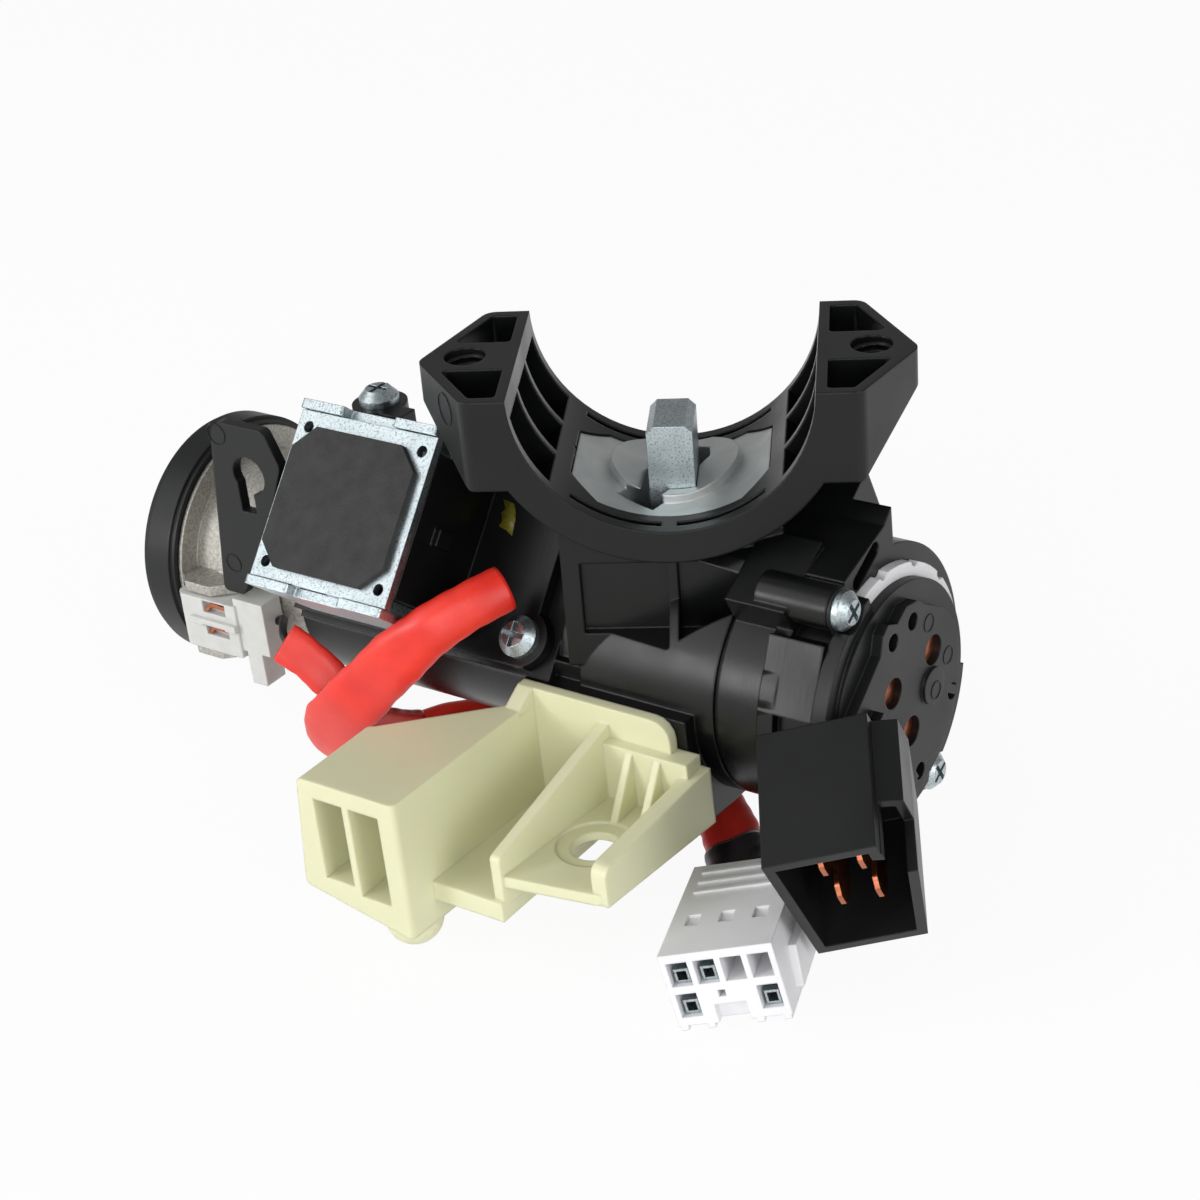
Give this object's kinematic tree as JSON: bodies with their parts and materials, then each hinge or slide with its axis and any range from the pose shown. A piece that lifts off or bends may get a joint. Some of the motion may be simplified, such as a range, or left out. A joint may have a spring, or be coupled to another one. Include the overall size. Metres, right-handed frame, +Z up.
{
  "type": "ignition switch",
  "caption": "Steering lock and ignition switch: column saddle, sliding lock bolt, key cylinder, interlock solenoid, switch with socket, harness bracket and sleeved lead with plug.",
  "frame": {"origin": "on the steering column's axis, midway along the saddle", "axes": "+Y along the column, away from the socket and bracket; +Z up, out of the saddle's mouth; +X towards the switch end"},
  "size_m": [0.1485, 0.1378, 0.0891],
  "materials": {
    "housing_black": "smooth black moulding, satin",
    "case_black": "black moulding, satin",
    "zinc": "die-cast, dull",
    "steel": "zinc plated, bright",
    "foam": "closed-cell foam, matt",
    "ivory": "ivory moulding, satin",
    "white": "white moulding, satin",
    "copper": "bare contact metal",
    "brass": "bare stamping",
    "coil_wire": "enamelled wire",
    "sleeve_red": "soft sleeve, satin",
    "wire_black": "insulated wire"
  },
  "bodies": {
    "housing": {"lock_housing": "housing_black", "bolt_guide": "zinc", "bolt_spring": "steel", "cylinder_sleeve": "zinc", "bezel_ring": "case_black", "reminder_body": "white", "reminder_contacts": "copper", "reminder_spring": "steel", "clip_arm": "case_black", "solenoid_case": "housing_black", "solenoid_yoke": "steel", "solenoid_plate": "steel", "foam_pad": "foam", "coil_bobbin": "case_black", "coil_winding": "coil_wire", "plunger_spring": "steel", "solenoid_screws": "steel", "switch_case": "housing_black", "contact_carrier": "white", "switch_base": "case_black", "contact_rivets": "copper", "socket_blades": "copper", "switch_screws": "steel", "harness_bracket": "ivory", "solenoid_lead": "sleeve_red", "reminder_lead": "sleeve_red", "lead_wires": "wire_black", "plug_housing": "white", "plug_terminals": "steel"},
    "key_rotor": {"key_plug": "zinc", "wafers": "brass", "camshaft": "zinc", "switch_rotor": "white", "contact_bridge": "copper"},
    "bolt": {"lock_bolt": "steel", "bolt_slider": "zinc"},
    "interlock": {"interlock_plunger": "steel"},
    "reminder": {"reminder_plunger": "white"}
  },
  "joints": [
    {"name": "key_turn", "type": "hinge", "parent": "housing", "child": "key_rotor", "pos_m": [0, 0, -0.055], "axis": [0.8655, -0.4997, 0.0349], "range_deg": [0, 110]},
    {"name": "bolt_slide", "type": "slide", "parent": "housing", "child": "bolt", "axis": [0, 0, -1], "range_m": [0, 0.0083], "deforming": ["bolt_spring"]},
    {"name": "interlock_slide", "type": "slide", "parent": "housing", "child": "interlock", "axis": [0.3998, 0.6472, -0.6491], "range_m": [0, 0.003], "stiffness_N_per_m": 150, "springref_m": -0.002, "deforming": ["plunger_spring"]},
    {"name": "reminder_slide", "type": "slide", "parent": "housing", "child": "reminder", "axis": [-0.5, -0.866, 0], "range_m": [0, 0.0012], "stiffness_N_per_m": 20, "springref_m": -0.001, "deforming": ["reminder_spring"]}
  ],
  "couplings": [
    {"joint": "bolt_slide", "follows": "key_turn", "m_per_rad": 0.0042667}
  ]
}
